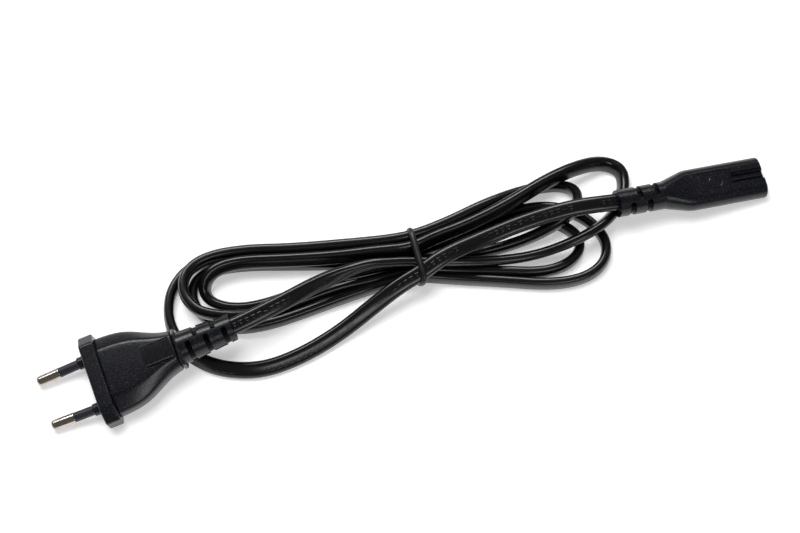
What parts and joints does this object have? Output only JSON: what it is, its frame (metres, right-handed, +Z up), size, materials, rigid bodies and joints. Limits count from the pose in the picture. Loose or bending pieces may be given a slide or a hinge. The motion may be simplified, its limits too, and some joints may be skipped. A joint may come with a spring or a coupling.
{
  "type": "two-core power cord",
  "caption": "Ungrounded mains lead: flat europlug with sleeved round pins, flat twin cord tied in a loose hank by an elastic band, and a figure-8 appliance connector.",
  "frame": {"origin": "on the table, under the middle of the whole lead's box", "axes": "+X from the plug's pins to the connector's mouth, +Y across the hank, +Z up from the table"},
  "size_m": [0.2769, 0.0556, 0.0209],
  "materials": {
    "moulded_black": "finely grained black PVC",
    "cord_black": "smooth black PVC",
    "sleeve_black": "smooth black",
    "nickel": "nickel plated, lightly worn",
    "contact_brass": "tinned brass",
    "copper": "bare copper",
    "bridge_plastic": "natural",
    "insert_black": "matte black",
    "core_brown": "satin",
    "core_blue": "satin",
    "band_rubber": "smooth black"
  },
  "bodies": {
    "root": {"connector_body": "moulded_black", "connector_contact_1": "contact_brass", "connector_contact_2": "contact_brass", "connector_copper_1": "copper", "connector_copper_2": "copper", "connector_core_1": "core_brown", "connector_core_2": "core_blue", "connector_insert": "insert_black", "cord_connector_lead": "cord_black", "cord_hank": "cord_black", "cord_plug_lead": "cord_black", "pin_sleeve_1": "sleeve_black", "pin_sleeve_2": "sleeve_black", "plug_body": "moulded_black", "plug_bridge": "bridge_plastic", "plug_copper_1": "copper", "plug_copper_2": "copper", "plug_core_1": "core_brown", "plug_core_2": "core_blue", "plug_pin_1": "nickel", "plug_pin_2": "nickel", "tie_band": "band_rubber"}
  },
  "joints": []
}
